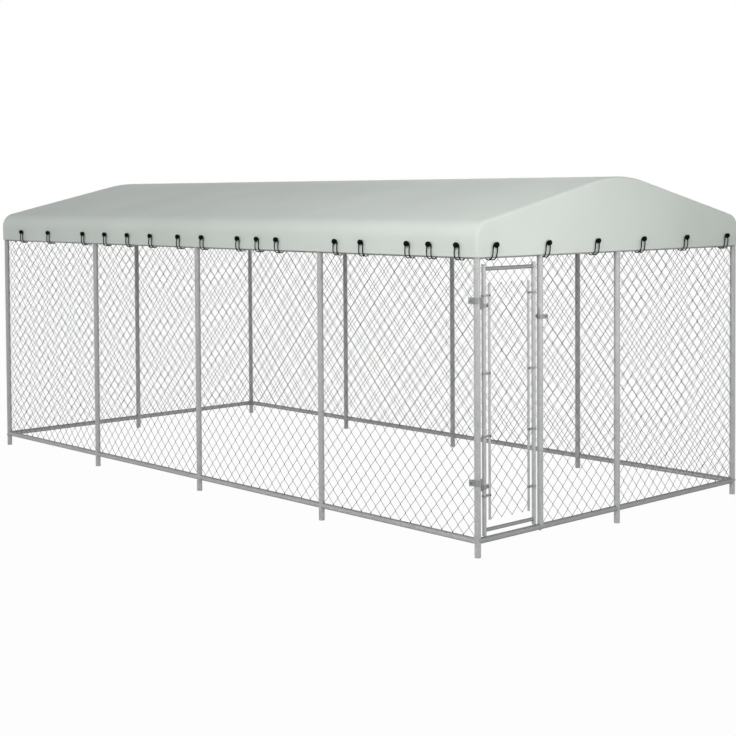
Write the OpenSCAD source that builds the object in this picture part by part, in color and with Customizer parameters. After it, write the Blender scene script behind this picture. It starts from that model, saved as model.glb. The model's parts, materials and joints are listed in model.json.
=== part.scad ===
// Outdoor dog kennel run: a galvanised tube frame with chain-link walls, a hinged door with a
// fork latch, and a pitched fabric canopy tied down with ball bungees.
// The origin is on the ground in the middle of the footprint, +Z is up and the door faces -Y.

/* [Footprint] */
// Distance between the corner-post axes along the run
run_length = 6000; // [5400:20:6600]
// Distance between the corner-post axes across the run
run_width = 2826; // [2600:2:3100]
// Distance from a corner post to the next post of a long side
end_bay = 1526; // [1400:2:1600]
// Distance of the door post from the middle of the front
door_post_offset = 812; // [720:2:860]

/* [Frame tubes] */
// Outside diameter of the posts and roof tubes
tube_d = 42; // [41:1:46]
// Outside diameter of the rails and ridge tubes
rail_d = 40; // [36:1:40]
// Wall of the posts, rails and roof tubes
tube_wall = 1.5; // [1.2:0.1:2.5]
// Height of the bottom-rail axes above the ground
bottom_rail_z = 105; // [80:1:140]
// Height of the top-rail axes above the ground
top_rail_z = 1918; // [1800:1:2050]
// Length of the plug inside the end of a rail
plug_len = 20; // [15:1:30]
// Distance of a plug in a rail's end from the tube that the rail meets
plug_set = 4; // [3:0.5:6]
// How far a stud or bolt stops short of its plug's far face
stud_short = 2; // [1:0.5:4]
// Height of the heads of the rail bolts
head_h = 5; // [4:0.5:6]
// Diameter of the bolts and studs that hold the rails
stud_d = 8; // [6:0.5:8]
// Height of the side rails' bolts above, and of the gable rails' bolts below, the rail axes
stud_offset = 7; // [6:0.5:9]
// Length of a spigot inside the end of a post or rafter
spigot_len = 50; // [40:1:60]
// Wall of the spigots
spigot_wall = 2; // [1.5:0.1:3]
// Height that a gable post stands above its top rail
gable_post_rise = 16; // [8:1:30]

/* [Roof frame] */
// Height of the eave bends' centres above the top-rail axes
eave_rise = 119; // [105:1:140]
// Radius of the eave bends, at the tube axis
bend_r = 90; // [75:1:110]
// Pitch of the rafters in degrees
roof_pitch = 13; // [10:0.5:16]
// Radius of the ridge bends, at the tube axis
ridge_r = 1267; // [1000:1:1500]

/* [Canopy] */
// Thickness of the canopy fabric
canopy_t = 1.5; // [1:0.1:2.5]
// Gap from the posts to the hanging skirt
skirt_gap = 8; // [6:0.5:12]
// Gap from the rafters to the fabric that lies over them
lay_gap = 1; // [0.5:0.1:2]
// Distance of the hem below the top-rail axes
hem_drop = 8; // [2:0.5:12]
// Height of the eyelets above the top-rail axes
eyelet_rise = 67; // [55:1:80]
// Inner diameter of an eyelet
eyelet_d = 14; // [12.5:0.5:16]
// Distance from a corner-post axis to the first eyelet of a gable
eyelet_inset = 136; // [110:2:160]
// Number of eyelets along each gable
gable_eyelets = 6; // [4:1:8]

/* [Bungees] */
// Diameter of the elastic cord
cord_d = 6; // [4:0.5:7]
// Diameter of the ball
ball_d = 38; // [34:1:38]
// Thickness of the ball between its flattened faces
ball_t = 28; // [24:1:30]
// Distance between the two strands of a loop
strand_gap = 42; // [42:1:46]
// Distance of the loop's centre below the top-rail axis
loop_drop = 5; // [4:0.5:8]

/* [Chain-link fabric] */
// Width of a diamond
diamond_w = 98; // [80:1:130]
// Height of a diamond
diamond_h = 107.5; // [90:0.5:140]
// Thickness of the wire
wire_d = 3; // [2:0.1:4]

/* [Door] */
// Outside diameter of the door tubes
door_tube_d = 28; // [25:1:32]
// Wall of the door tubes
door_tube_wall = 1.5; // [1.2:0.1:2.5]
// Outside diameter of the door's two rails
door_rail_d = 25; // [20:1:27]
// Gap from the hinge post to the door stile
hinge_gap = 26.5; // [25:0.5:32]
// Gap from the door stile to the door post
latch_gap = 30; // [28:0.5:35]
// Gap from the bottom rail to the stiles
door_floor_gap = 7; // [5:0.5:12]
// Gap from the stiles to the top rail
door_head_gap = 37; // [28:1:50]
// Distance of the door's top rail below the stile tops
door_top_inset = 27; // [20:1:40]
// Distance of the door's bottom rail above the stile ends
door_bottom_inset = 34; // [25:1:50]
// Distance from a stile axis to its tension bar
bar_offset = 51; // [47:0.5:56]
// Width of a tension bar
bar_w = 19; // [15:0.5:20]
// Thickness of a tension bar
bar_t = 5; // [4:0.5:6]
// Gap from the door's top rail to the tension bars
bar_top_gap = 77; // [60:1:100]
// Gap from the door's bottom rail to the tension bars
bar_bottom_gap = 47; // [35:1:70]
// Height of a tension band
tension_band_h = 14; // [10:0.5:18]
// Diameter of the bolts in bands and clamps
bolt_d = 6; // [5:0.5:7]

/* [Hinges and latch] */
// Thickness of the strip that bands and clamps are bent from
strip_t = 2.5; // [2:0.1:3]
// Height of the hinge bands on the post
hinge_band_h = 41; // [34:1:48]
// Height of the hinge clamps on the door stile
hinge_clamp_h = 26; // [20:1:32]
// Height of the upper hinge band above the ground
upper_hinge_z = 1635; // [1500:1:1700]
// Height of the lower hinge band above the ground
lower_hinge_z = 478; // [430:1:600]
// Diameter of the hinge pintles
pintle_d = 10; // [8:0.5:11]
// Height of the latch above the ground
latch_z = 1500; // [1300:1:1560]
// Height of the latch band
latch_band_h = 30; // [24:1:36]
// Distance from the door post to the latch pivot
latch_pivot_gap = 12; // [11:0.5:14]
// Length of the latch prongs
prong_len = 58; // [54:1:62]
// Thickness of the latch prongs
prong_t = 3; // [2:0.2:4]

/* [Hidden] */
$fn = 48;
// Clearance between pieces that sit against each other
fit = 0.3;
// Small overshoot of a cutting tool
over = 1;
zinc = [0.72, 0.74, 0.74];
zinc_dark = [0.55, 0.57, 0.58];
fabric = [0.84, 0.87, 0.84];
black = [0.08, 0.08, 0.08];

tube_r = tube_d / 2;
side_x = run_width / 2;
end_y = run_length / 2;
inner_y = end_y - end_bay;
side_y = [-end_y, -inner_y, 0, inner_y, end_y];
gable_x = [-side_x, 0, side_x];
rail_r = rail_d / 2;
rail_bore = rail_d - 2 * tube_wall;
spigot_d = tube_d - 2 * tube_wall - 2 * fit;
rail_levels = [bottom_rail_z, top_rail_z];
// Where the plug in a rail's end starts, from the axis of the tube that the rail meets
plug_x = tube_r + plug_set;
stud_reach = plug_x + plug_len - stud_short;

// Roof line: eave bend, straight rafter, ridge bend, at the tube axis
eave_z = top_rail_z + eave_rise;
bend_x = side_x - bend_r;
rafter_foot = [bend_x + bend_r * sin(roof_pitch), eave_z + bend_r * cos(roof_pitch)];
ridge_bend_z = rafter_foot.y + rafter_foot.x * tan(roof_pitch) - ridge_r / cos(roof_pitch);
ridge_z = ridge_bend_z + ridge_r;
rafter_head_x = ridge_r * sin(roof_pitch);
rafter_run = (rafter_foot.x - rafter_head_x) / cos(roof_pitch);
rafter_len = rafter_run - 2 * fit;
post_top = eave_z - fit;
gable_post_top = top_rail_z + tube_r + gable_post_rise;

// A line of rails is [place, turn, stations of the tubes it meets, bolt height, side of the run's inside]
function side_line(x, z) = [[x, 0, z], [0, 0, 90], side_y, stud_offset, sign(x)];
function gable_line(y, z) = [[0, y, z], [0, 0, 0], gable_x, -stud_offset, -sign(y)];
ridge_line = [[0, 0, ridge_z], [90, 0, 90], side_y, 0, 0];
door_post_line = [[-door_post_offset, -end_y, 0], [0, -90, 0], rail_levels, 0, 0];
all_lines = concat(
    [for (x = [-side_x, side_x], z = rail_levels) side_line(x, z)],
    [for (y = [-end_y, end_y], z = rail_levels) gable_line(y, z)],
    [ridge_line, door_post_line]);

// Each chain-link bay is [start x, start y, direction, span] between two post axes, where the
// door post counts as far back as it is thinner than the other posts
left_bays = [for (i = [0 : 3]) [-side_x, side_y[i], 90, side_y[i + 1] - side_y[i]]];
right_bays = [for (i = [0 : 3]) [side_x, side_y[i], 90, side_y[i + 1] - side_y[i]]];
door_bay = door_post_offset + tube_r - rail_r;
front_bays = [[-door_bay, -end_y, 0, door_bay], [0, -end_y, 0, side_x]];
rear_bays = [[-side_x, end_y, 0, side_x], [0, end_y, 0, side_x]];

// Canopy: inner face of the skirt, shoulder and ridge
skirt_x = side_x + tube_r + skirt_gap;
skirt_y = end_y + tube_r + skirt_gap;
hem_z = top_rail_z - hem_drop;
roof_offset = tube_r + lay_gap;
shoulder_r = skirt_x - bend_x;
shoulder_z = eave_z - (shoulder_r - bend_r - roof_offset) / cos(roof_pitch);
skirt_out = tube_r + skirt_gap + canopy_t;
// Eyelets of a long side, as shares of half the run's length from the middle
side_eyelets = [-0.953, -0.869, -0.801, -0.649, -0.56, -0.343, -0.267, -0.189, -0.037, 0.068,
    0.197, 0.308, 0.422, 0.538, 0.73, 0.886];
gable_pitch = (run_width - 2 * eyelet_inset) / (gable_eyelets - 1);
eyelet_z = top_rail_z + eyelet_rise;
eyelet_wall = 0.8;
eyelet_flange = 2.5;

// Bungees, measured outwards and upwards from the top-rail axis
cord_r = cord_d / 2;
neck_r = strand_gap / 2;
strand_out = skirt_out + eyelet_wall + fit + cord_r;
strand_in = -(rail_r + fit + cord_r);
loop_r = (strand_out - strand_in) / 2;
ball_out = skirt_out + eyelet_wall + fit + ball_t / 2;
ball_back = ball_out - ball_t / 2 - fit;

// Chain-link panels stand on the bottom rails and end just below the cords under the top rails
mesh_z = bottom_rail_z + rail_r + fit;
mesh_h = top_rail_z - loop_drop - loop_r - cord_r - fit - mesh_z;

// Door, in the plane of the front posts
door_r = door_tube_d / 2;
hinge_x = -side_x + tube_r + hinge_gap / 2;
stile_left = -side_x + tube_r + hinge_gap + door_r;
stile_right = -door_post_offset - rail_r - latch_gap - door_r;
stile_z = bottom_rail_z + rail_r + door_floor_gap;
stile_h = top_rail_z - rail_r - door_head_gap - stile_z;
cap_h = 2;
door_rail_z = [stile_z + door_bottom_inset, stile_z + stile_h - door_top_inset];
bar_left = stile_left + bar_offset;
bar_right = stile_right - bar_offset;
bar_z = door_rail_z[0] + door_rail_d / 2 + bar_bottom_gap;
bar_h = door_rail_z[1] - door_rail_d / 2 - bar_top_gap - bar_z;
// Tension bands: three at shares of the bars' height, and one just above the upper hinge band
band_z = concat([for (share = [0.105, 0.355, 0.62]) bar_z + share * bar_h],
    [upper_hinge_z + (hinge_band_h + tension_band_h) / 2 + over]);
ear_gap = bar_t + 2 * fit;
tension_ear = bar_offset + bar_w / 2 - fit;

// Hinges: the door's eyes hang on pintles just below the post bands
hinge_z = [lower_hinge_z, upper_hinge_z];
eye_r = pintle_d / 2 + 4;
eye_drop = hinge_band_h / 2 + over + hinge_clamp_h / 2;
collar_h = 6;
post_ear = 31;
hinge_ear_turn = 135;
latch_ear_turn = -45;
clamp_ear = bar_offset - bar_w / 2 - door_r - strip_t - 2;
clamp_bolt_x = bolt_reach(door_tube_d, clamp_ear);
post_ear_gap = 6;

// Latch: the fork turns on a pin beside the door post
pivot_x = -door_post_offset - rail_r - latch_pivot_gap;
pin_d = 6;
lug_r = 6;
lug_w = 16;
prong_y = door_r + 1.8;
prong_w = 11;
bridge_u = lug_r + 4.5;
bridge_d = 5;
pin_h = 2 * (prong_y + prong_t + fit);

// A straight tube standing on the origin
module tube(d, wall, h) {
    difference() {
        cylinder(d = d, h = h);
        translate([0, 0, -over]) cylinder(d = d - 2 * wall, h = h + 2 * over);
    }
}

// A round rod between two points
module rod(p, q, d) {
    v = q - p;
    translate(p) rotate([0, acos(v.z / norm(v)), atan2(v.y, v.x)]) cylinder(d = d, h = norm(v));
}

module both_sides() {
    children();
    mirror([1, 0, 0]) children();
}

// Places a line of rails: X along the line, Z along the tubes that it meets
module at_line(line) {
    translate(line[0]) rotate(line[1]) children();
}

// The upright tube that a rail's end is cut to fit
module cope() {
    translate([0, 0, -tube_d]) cylinder(r = tube_r + fit, h = 2 * tube_d);
}

// The half-space past the diagonal, where the rail of the next wall meets this one in a corner
module mitre(inside) {
    side = inside > 0 ? -fit / 2 : -2 * tube_d + fit / 2;
    if (inside != 0) rotate([0, 0, 45 * inside]) translate([-tube_d, side, -tube_d])
        cube([3 * tube_d, 2 * tube_d, 2 * tube_d]);
}

// A rail along X between two upright tubes, span apart
module rail(span, start_mitre, end_mitre) {
    difference() {
        rotate([0, 90, 0]) tube(rail_d, tube_wall, span);
        cope();
        translate([span, 0, 0]) cope();
        mitre(start_mitre);
        translate([span, 0, 0]) mirror([1, 0, 0]) mitre(end_mitre);
    }
}

module rails(line) {
    at = line[2];
    last = len(at) - 2;
    at_line(line) for (i = [0 : last]) translate([at[i], 0, 0])
        rail(at[i + 1] - at[i], i == 0 ? line[4] : 0, i == last ? line[4] : 0);
}

module rail_plugs() {
    color(zinc_dark) for (line = all_lines, i = [0 : len(line[2]) - 2]) {
        starts = [line[2][i] + plug_x, line[2][i + 1] - plug_x - plug_len];
        for (x = starts) at_line(line) translate([x, 0, 0]) rotate([0, 90, 0]) difference() {
            cylinder(d = rail_bore - 2 * fit, h = plug_len);
            translate([-line[3], 0, -over]) cylinder(d = stud_d + fit, h = plug_len + 2 * over);
        }
    }
}

// A hex bolt through the last tube of a line, into the plug of the rail behind it
module rail_bolt() {
    translate([-tube_r - fit, 0, 0]) rotate([0, 90, 0]) {
        cylinder(d = stud_d, h = tube_r + fit + stud_reach);
        translate([0, 0, -head_h]) cylinder(d = 1.9 * stud_d, h = head_h, $fn = 6);
    }
}

module rail_bolts() {
    color(zinc_dark) for (line = all_lines) at_line(line) {
        translate([line[2][0], 0, line[3]]) rail_bolt();
        translate([line[2][len(line[2]) - 1], 0, line[3]]) mirror([1, 0, 0]) rail_bolt();
    }
}

// Studs join the plugs on both sides of each tube in the middle of a line
module rail_studs() {
    color(zinc_dark) for (line = all_lines) if (len(line[2]) > 2) at_line(line)
        for (i = [1 : len(line[2]) - 2]) translate([line[2][i] - stud_reach, 0, line[3]])
            rotate([0, 90, 0]) cylinder(d = stud_d, h = 2 * stud_reach);
}

// A bolt hole right through an upright tube, along the given direction in plan
module stud_hole(z, direction) {
    translate([0, 0, z]) rotate([0, 0, direction]) rotate([0, 90, 0])
        cylinder(d = stud_d + 2 * fit, h = 2 * tube_d, center = true);
}

// A post with holes for the bolts of the side rails, the gable rails or both
module post(x, y, top, side, gable) {
    translate([x, y, 0]) difference() {
        tube(tube_d, tube_wall, top);
        for (z = rail_levels) {
            if (side) stud_hole(z + stud_offset, 90);
            if (gable) stud_hole(z - stud_offset, 0);
        }
    }
}

module corner_posts() {
    color(zinc) for (x = [-side_x, side_x], y = [-end_y, end_y]) post(x, y, post_top, true, true);
}

module side_posts() {
    color(zinc) for (x = [-side_x, side_x], i = [1 : 3]) post(x, side_y[i], post_top, true, false);
}

module gable_posts() {
    color(zinc) for (y = [-end_y, end_y]) post(0, y, gable_post_top, false, true);
}

module gable_post_caps() {
    cap_plug = 15;
    color(black) for (y = [-end_y, end_y]) translate([0, y, gable_post_top + fit]) {
        cylinder(d = tube_d, h = 3);
        translate([0, 0, -cap_plug]) cylinder(d = spigot_d, h = cap_plug);
    }
}

module door_post() {
    color(zinc) rails(door_post_line);
}

// The front rails also take the door post's bolts, from below and from above
module front_rails(z) {
    color(zinc) difference() {
        rails(gable_line(-end_y, z));
        translate([-door_post_offset, -end_y, z])
            cylinder(d = stud_d + 2 * fit, h = 2 * tube_d, center = true);
    }
}

// A tube bent about the origin, from the X axis
module bent_tube(r, sweep) {
    rotate_extrude(angle = sweep) translate([r, 0]) difference() {
        circle(d = tube_d);
        circle(d = tube_d - 2 * tube_wall);
    }
}

module eave_bends() {
    color(zinc) for (y = side_y) both_sides()
        translate([bend_x, y, eave_z]) rotate([90, 0, 0]) bent_tube(bend_r, 90 - roof_pitch);
}

module ridge_bends() {
    color(zinc) for (y = side_y) difference() {
        translate([0, y, ridge_bend_z]) rotate([90, 0, 0]) rotate([0, 0, 90 - roof_pitch])
            bent_tube(ridge_r, 2 * roof_pitch);
        translate([0, y, 0]) stud_hole(ridge_z, 90);
    }
}

// Places a thing on the right rafter line, a distance up from the eave bend, pointing up the slope
module on_rafter(y, along) {
    foot = [rafter_foot.x - along * cos(roof_pitch), y, rafter_foot.y + along * sin(roof_pitch)];
    translate(foot) rotate([0, roof_pitch - 90, 0]) children();
}

module rafters_right() {
    color(zinc) for (y = side_y) on_rafter(y, fit) tube(tube_d, tube_wall, rafter_len);
}

module rafters_left() {
    mirror([1, 0, 0]) rafters_right();
}

module ridge_tubes() {
    color(zinc) rails(ridge_line);
}

// Spigots on the bends' ends, inside the post tops and both ends of the rafters
module roof_spigots() {
    color(zinc_dark) for (y = side_y) both_sides() {
        translate([side_x, y, post_top - spigot_len]) tube(spigot_d, spigot_wall, spigot_len);
        for (along = [fit, rafter_run - fit - spigot_len])
            on_rafter(y, along) tube(spigot_d, spigot_wall, spigot_len);
    }
}

// Chain-link fabric on its lower left corner: wires leaning right in the front layer cross
// wires leaning left in the back layer, and they meet in points along the bottom and the sides
module chain_link(w, h) {
    inner_w = w - wire_d;
    inner_h = h - wire_d;
    columns = round(2 * inner_w / diamond_w) / 2;
    rows = round(2 * inner_h / diamond_h) / 2;
    step = inner_w / columns;
    slant = step * rows / inner_h;
    y = (wire_d + fit) / 2;
    shortest = 3 * wire_d;
    translate([wire_d / 2, 0, wire_d / 2]) {
        for (i = [-ceil(rows) : ceil(columns)]) {
            x = i * step;
            low = max(0, -x / slant);
            high = min(inner_h, (inner_w - x) / slant);
            if (high - low > shortest)
                rod([x + low * slant, -y, low], [x + high * slant, -y, high], wire_d);
        }
        for (i = [0 : ceil(columns + rows)]) {
            x = i * step;
            low = max(0, (x - inner_w) / slant);
            high = min(inner_h, x / slant);
            if (high - low > shortest)
                rod([x - low * slant, y, low], [x - high * slant, y, high], wire_d);
        }
    }
}

// The fabric of a bay stays clear of the bands round the posts
module mesh_bay(bay) {
    side = tube_r + strip_t + 2 * fit;
    color(zinc_dark) translate([bay[0], bay[1], mesh_z]) rotate([0, 0, bay[2]]) translate([side, 0, 0])
        chain_link(bay[3] - 2 * side, mesh_h);
}

// Half of the canopy's cross-section line from hem to ridge, on the face that is t outside the inner one
function half_line(t) = concat(
    [[skirt_x + t, hem_z]],
    [for (i = [0 : 10]) let (a = i * (90 - roof_pitch) / 10)
        [bend_x, shoulder_z] + (shoulder_r + t) * [cos(a), sin(a)]],
    [for (i = [0 : 4]) let (a = 90 - roof_pitch + i * roof_pitch / 4)
        [0, ridge_bend_z] + (ridge_r + roof_offset + t) * [cos(a), sin(a)]]);
function roof_line(t) = let (half = half_line(t), n = len(half))
    concat(half, [for (i = [n - 2 : -1 : 0]) [-half[i].x, half[i].y]]);

module at_left_eyelets() {
    for (share = side_eyelets) translate([-side_x, share * end_y, 0]) rotate([0, 0, 180]) children();
}

module at_right_eyelets() {
    mirror([1, 0, 0]) at_left_eyelets() children();
}

module at_front_eyelets() {
    for (i = [0 : gable_eyelets - 1])
        translate([-side_x + eyelet_inset + i * gable_pitch, -end_y, 0]) rotate([0, 0, -90]) children();
}

module at_rear_eyelets() {
    mirror([0, 1, 0]) at_front_eyelets() children();
}

// The hole through the skirt for an eyelet, outwards along X
module eyelet_hole() {
    translate([tube_r, 0, eyelet_z]) rotate([0, 90, 0])
        cylinder(d = eyelet_d + 2 * eyelet_wall + 2 * fit, h = skirt_gap + canopy_t + over);
}

module canopy_roof() {
    outer = roof_line(canopy_t);
    inner = roof_line(0);
    n = len(inner);
    color(fabric) difference() {
        translate([0, skirt_y, 0]) rotate([90, 0, 0]) linear_extrude(2 * skirt_y)
            polygon(concat(outer, [for (i = [n - 1 : -1 : 0]) inner[i]]));
        at_left_eyelets() eyelet_hole();
        at_right_eyelets() eyelet_hole();
    }
}

module canopy_front_gable() {
    color(fabric) difference() {
        translate([0, -skirt_y - fit / 2, 0]) rotate([90, 0, 0]) linear_extrude(canopy_t - fit / 2)
            polygon(roof_line(canopy_t));
        at_front_eyelets() eyelet_hole();
    }
}

module canopy_rear_gable() {
    mirror([0, 1, 0]) canopy_front_gable();
}

// A rolled eyelet: a sleeve through the fabric with a flange on each face
module eyelet() {
    face = canopy_t / 2 + fit / 3;
    translate([skirt_out - canopy_t / 2, 0, eyelet_z]) rotate([0, 90, 0]) rotate_extrude()
        translate([eyelet_d / 2, 0]) {
            translate([0, -face - eyelet_wall]) square([eyelet_wall, 2 * (face + eyelet_wall)]);
            translate([0, face]) square([eyelet_wall + eyelet_flange, eyelet_wall - fit / 3]);
            translate([0, -face - eyelet_wall]) square([eyelet_wall + eyelet_flange, eyelet_wall]);
        }
}

module canopy_eyelets() {
    color(zinc_dark) {
        at_left_eyelets() eyelet();
        at_right_eyelets() eyelet();
        at_front_eyelets() eyelet();
        at_rear_eyelets() eyelet();
    }
}

// The upper half of a ring of cord, flat
module half_ring(r) {
    intersection() {
        difference() {
            circle(r = r + cord_r);
            circle(r = r - cord_r);
        }
        translate([-r - cord_d, 0]) square([2 * (r + cord_d), r + cord_d]);
    }
}

// A turn of cord over the X axis, joining the tops of two strands
module cord_arch(x, z) {
    translate([x - cord_r, 0, z]) rotate([90, 0, 90]) linear_extrude(cord_d) half_ring(neck_r);
}

// A strand down the skirt, under the rail and up inside, seen along the rail
module strand_side() {
    translate([strand_out - loop_r, 0]) mirror([0, 1]) half_ring(loop_r);
    translate([strand_out - cord_r, 0]) square([cord_d, eyelet_rise + loop_drop]);
    translate([strand_in - cord_r, 0]) square([cord_d, eyelet_rise - neck_r + loop_drop]);
}

// An elastic loop: over the ball's neck, down the skirt, under the rail and up inside to a knot,
// which a single cord joins to the ball through the eyelet
module bungee_cord() {
    knot_d = 1.8 * cord_d;
    translate([0, 0, top_rail_z]) {
        cord_arch(strand_out, eyelet_rise);
        cord_arch(strand_in, eyelet_rise - neck_r);
        for (y = [-neck_r, neck_r]) translate([0, y + cord_r, -loop_drop])
            rotate([90, 0, 0]) linear_extrude(cord_d) strand_side();
        translate([strand_in, 0, eyelet_rise]) rotate([0, 90, 0]) {
            cylinder(d = knot_d, h = knot_d, center = true);
            cylinder(d = cord_d, h = ball_back - strand_in);
        }
    }
}

module bungee_ball() {
    translate([ball_out, 0, eyelet_z]) intersection() {
        rotate([0, 90, 0]) sphere(d = ball_d);
        cube([ball_t, 2 * ball_d, 2 * ball_d], center = true);
    }
}

// How far a clamp's ears and the bolt in their middle are from the axis of a tube
function ear_reach(d, ear) = d / 2 + fit + strip_t + ear;
function bolt_reach(d, ear) = ear_reach(d, ear) - ear / 2;

// A strip bent round a tube, with two ears along X and a bolt hole through them
module clamp_band(d, h, gap, reach, bolt_x) {
    outer_r = d / 2 + fit + strip_t;
    difference() {
        union() {
            cylinder(r = outer_r, h = h, center = true);
            translate([0, -gap / 2 - strip_t, -h / 2]) cube([reach, gap + 2 * strip_t, h]);
        }
        cylinder(d = d + 2 * fit, h = h + 2 * over, center = true);
        translate([0, -gap / 2, -h / 2 - over]) cube([reach + over, gap, h + 2 * over]);
        translate([bolt_x, 0, 0]) rotate([90, 0, 0])
            cylinder(d = bolt_d + 2 * fit, h = 2 * outer_r + gap, center = true);
    }
}

// A round-headed bolt along Y that closes two ears a gap apart, and its nut
module ear_bolt(gap) {
    grip = gap / 2 + strip_t + fit;
    rotate([90, 0, 0]) {
        translate([0, 0, -grip - bolt_d]) cylinder(d = bolt_d, h = 2 * grip + bolt_d);
        translate([0, 0, grip]) intersection() {
            cylinder(d = 2 * bolt_d, h = bolt_d / 2);
            translate([0, 0, -bolt_d / 2]) sphere(d = 2.4 * bolt_d);
        }
    }
}

module ear_nut(gap) {
    rotate([-90, 0, 0]) translate([0, 0, gap / 2 + strip_t + fit]) difference() {
        cylinder(d = 1.9 * bolt_d, h = 0.75 * bolt_d, $fn = 6);
        translate([0, 0, -over]) cylinder(d = bolt_d + fit, h = bolt_d + 2 * over);
    }
}

// Hinge bands turn their ears out past the corner, away from both walls
module at_hinge_bands() {
    for (z = hinge_z) translate([-side_x, -end_y, z]) children();
}

module hinge_bands() {
    pin_x = hinge_x + side_x;
    pin_z = -hinge_band_h / 2 - over - hinge_clamp_h - collar_h - 4;
    color(zinc_dark) at_hinge_bands() {
        rotate([0, 0, hinge_ear_turn])
            clamp_band(tube_d, hinge_band_h, post_ear_gap, ear_reach(tube_d, post_ear),
                bolt_reach(tube_d, post_ear));
        difference() {
            translate([0, -pintle_d / 2, -hinge_band_h / 2]) cube([pin_x, pintle_d, hinge_band_h]);
            cylinder(d = tube_d + 2 * fit, h = hinge_band_h + 2 * over, center = true);
        }
        translate([pin_x, 0, pin_z]) cylinder(d = pintle_d, h = hinge_band_h / 2 - pin_z);
    }
}

module hinge_collars() {
    for (z = hinge_z) color(zinc_dark)
        translate([hinge_x, -end_y, z - eye_drop - hinge_clamp_h / 2 - fit - collar_h])
            tube(pintle_d + 2 * fit + 6, 3, collar_h);
}

module at_post_bolts() {
    at_hinge_bands() rotate([0, 0, hinge_ear_turn])
        translate([bolt_reach(tube_d, post_ear), 0, 0]) children();
    at_latch() rotate([0, 0, latch_ear_turn])
        translate([bolt_reach(rail_d, post_ear), 0, 0]) children();
}

module post_bolts() {
    color(zinc_dark) at_post_bolts() ear_bolt(post_ear_gap);
}

module post_nuts() {
    color(zinc_dark) at_post_bolts() ear_nut(post_ear_gap);
}

module at_latch() {
    translate([-door_post_offset, -end_y, latch_z]) children();
}

module latch_band() {
    lug_x = pivot_x + door_post_offset;
    color(zinc_dark) at_latch() difference() {
        union() {
            rotate([0, 0, latch_ear_turn])
                clamp_band(rail_d, latch_band_h, post_ear_gap, ear_reach(rail_d, post_ear),
                    bolt_reach(rail_d, post_ear));
            translate([lug_x, 0, 0]) rotate([90, 0, 0]) cylinder(r = lug_r, h = lug_w, center = true);
            translate([lug_x, -lug_w / 2, -lug_r]) cube([-lug_x, lug_w, 2 * lug_r]);
        }
        cylinder(d = rail_d + 2 * fit, h = latch_band_h + 2 * over, center = true);
        translate([lug_x, 0, 0]) rotate([90, 0, 0])
            cylinder(d = pin_d + fit, h = lug_w + 2 * over, center = true);
    }
}

module latch_pin() {
    head_h = 3;
    color(zinc_dark) translate([pivot_x, -end_y, latch_z]) rotate([90, 0, 0]) {
        cylinder(d = pin_d, h = pin_h, center = true);
        for (z = [-pin_h / 2 - head_h, pin_h / 2]) translate([0, 0, z]) cylinder(d = pin_d + 4, h = head_h);
    }
}

// The fork stands up at rest and swings down round the door stile
module latch_fork() {
    color(zinc_dark) translate([pivot_x, -end_y, latch_z]) {
        for (y = [-prong_y - prong_t, prong_y]) difference() {
            translate([0, y + prong_t, 0]) rotate([90, 0, 0]) linear_extrude(prong_t) union() {
                circle(d = prong_w);
                translate([-prong_w / 2, 0]) square([prong_w, prong_len - prong_w / 2]);
                translate([0, prong_len - prong_w / 2]) circle(d = prong_w);
            }
            translate([0, y - over, 0]) rotate([-90, 0, 0])
                cylinder(d = pin_d + 2 * fit, h = prong_t + 2 * over);
        }
        translate([0, 0, bridge_u]) rotate([90, 0, 0])
            cylinder(d = bridge_d, h = 2 * prong_y + prong_t, center = true);
    }
}

module door_stiles() {
    color(zinc) for (x = [stile_left, stile_right])
        translate([x, -end_y, stile_z]) tube(door_tube_d, door_tube_wall, stile_h);
}

module door_stile_caps() {
    plug_h = 12;
    plug_d = door_tube_d - 2 * door_tube_wall - 2 * fit;
    for (x = [stile_left, stile_right], end = [0, 1]) color(zinc_dark)
        translate([x, -end_y, stile_z + end * stile_h]) mirror([0, 0, 1 - end]) {
            translate([0, 0, fit]) cylinder(d = door_tube_d, h = cap_h);
            translate([0, 0, -plug_h]) cylinder(d = plug_d, h = plug_h + fit);
        }
}

module door_rails() {
    color(zinc) for (z = door_rail_z) difference() {
        translate([stile_left, -end_y, z]) rotate([0, 90, 0])
            tube(door_rail_d, door_tube_wall, stile_right - stile_left);
        for (x = [stile_left, stile_right]) translate([x, -end_y, z - door_tube_d])
            cylinder(d = door_tube_d + 2 * fit, h = 2 * door_tube_d);
    }
}

module door_tension_bars() {
    color(zinc_dark) for (x = [bar_left, bar_right]) difference() {
        translate([x - bar_w / 2, -end_y - bar_t / 2, bar_z]) cube([bar_w, bar_t, bar_h]);
        for (z = band_z) translate([x, -end_y, z]) rotate([90, 0, 0])
            cylinder(d = bolt_d + 2 * fit, h = bar_t + 2 * over, center = true);
    }
}

module door_mesh() {
    x0 = bar_left + bar_w / 2 + fit;
    color(zinc_dark) translate([x0, -end_y, bar_z])
        chain_link(bar_right - bar_w / 2 - fit - x0, bar_h);
}

module at_tension_bands() {
    for (z = band_z) {
        translate([stile_left, -end_y, z]) children();
        translate([stile_right, -end_y, z]) mirror([1, 0, 0]) children();
    }
}

module door_tension_bands() {
    color(zinc_dark) at_tension_bands()
        clamp_band(door_tube_d, tension_band_h, ear_gap, tension_ear, bar_offset);
}

module at_hinge_clamps() {
    for (z = hinge_z) translate([stile_left, -end_y, z - eye_drop]) children();
}

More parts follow.
